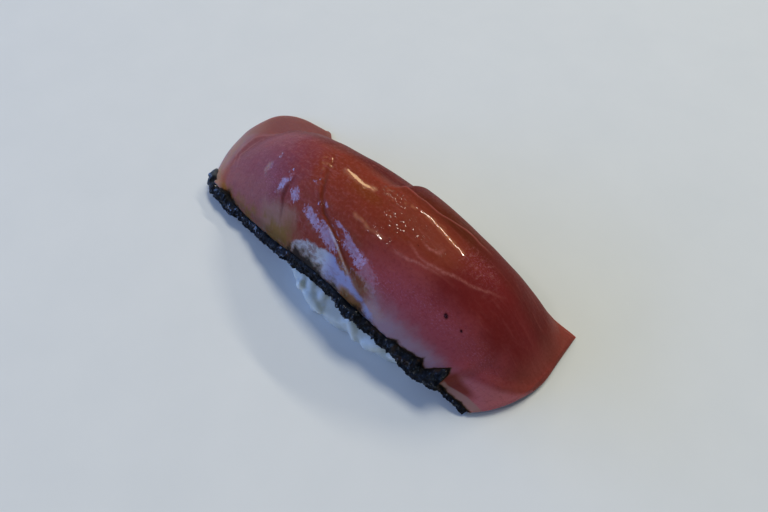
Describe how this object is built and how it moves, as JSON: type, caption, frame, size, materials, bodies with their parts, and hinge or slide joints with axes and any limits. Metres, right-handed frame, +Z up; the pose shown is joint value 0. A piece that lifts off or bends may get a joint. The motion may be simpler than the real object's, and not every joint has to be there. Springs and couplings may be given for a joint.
{
  "type": "bonito nigiri",
  "caption": "Slice of bonito with seared skin along one long edge, draped over a pressed block of vinegared rice.",
  "frame": {"origin": "centre of the bounding box in plan, on the plate surface the nigiri stands on", "axes": "+X along the slice toward its square end, +Z up, -Y toward the seared skin"},
  "size_m": [0.0822, 0.0316, 0.021],
  "materials": {
    "raw_flesh": "wet, glazed raw fish, charred black along the skin edge",
    "cooked_rice": "moist, slightly translucent cooked rice"
  },
  "bodies": {
    "root": {"bonito_slice": "raw_flesh", "rice": "cooked_rice"}
  },
  "joints": []
}
